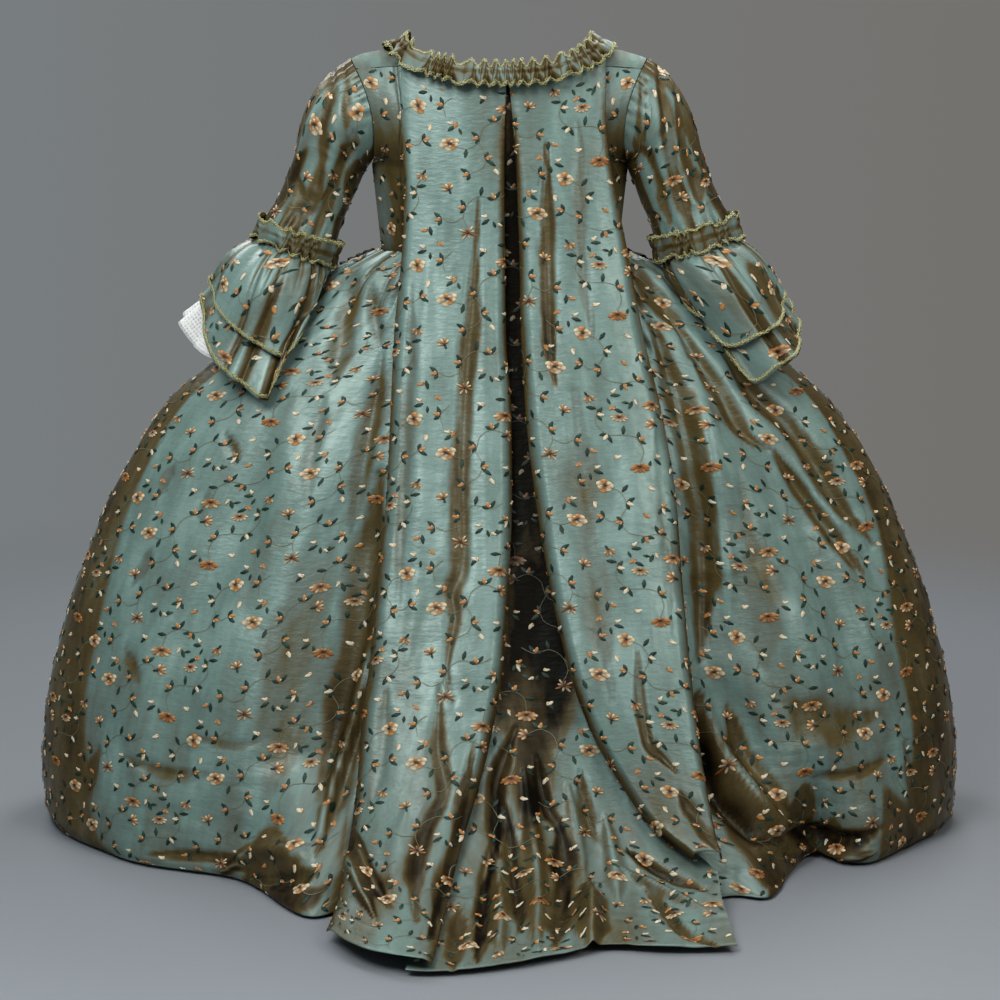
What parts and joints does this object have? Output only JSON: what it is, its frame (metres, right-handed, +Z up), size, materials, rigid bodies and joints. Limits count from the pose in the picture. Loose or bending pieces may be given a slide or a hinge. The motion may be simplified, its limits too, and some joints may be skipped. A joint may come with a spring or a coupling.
{
  "type": "robe a la francaise",
  "caption": "Hollow worn gown in embroidered shot silk with a loose pleated sack back, wide hooped skirt, elbow sleeves with gathered flounces, and a train.",
  "frame": {"origin": "middle of the shoulder line inside the neck opening, where the wearer carries the gown", "axes": "+Z up, -Y towards the wearer's front, +X towards the wearer's left"},
  "size_m": [1.632, 1.2751, 1.3752],
  "materials": {
    "silk": "shot silk taffeta, teal one way and olive brown the other, embroidered all over with small flowers",
    "braid": "looped pale yellow-green silk braid",
    "lace": "white gathered linen lace"
  },
  "bodies": {
    "root": {"back_pleat_L": "silk", "skirt_back_L": "silk", "skirt_front_L": "silk", "bodice_back_L": "silk", "bodice_front_L": "silk", "shoulder_strap_L": "silk", "sleeve_L": "silk", "elbow_band_L": "silk", "flounce_upper_L": "silk", "flounce_lower_L": "silk", "front_ruffle_L": "silk", "pocket_trim_L": "silk", "back_pleat_R": "silk", "skirt_back_R": "silk", "skirt_front_R": "silk", "bodice_back_R": "silk", "bodice_front_R": "silk", "shoulder_strap_R": "silk", "sleeve_R": "silk", "elbow_band_R": "silk", "flounce_upper_R": "silk", "flounce_lower_R": "silk", "front_ruffle_R": "silk", "pocket_trim_R": "silk", "back_inset": "silk", "petticoat_front": "silk", "stomacher": "silk", "neck_ruffle": "silk", "band_braid_top_L": "braid", "band_braid_bottom_L": "braid", "band_braid_top_R": "braid", "band_braid_bottom_R": "braid", "flounce_braid_upper_L": "braid", "flounce_braid_lower_L": "braid", "flounce_braid_upper_R": "braid", "flounce_braid_lower_R": "braid", "neck_braid_inner": "braid", "neck_braid_outer": "braid", "lace_cuff_L": "lace", "lace_cuff_R": "lace"}
  },
  "joints": []
}
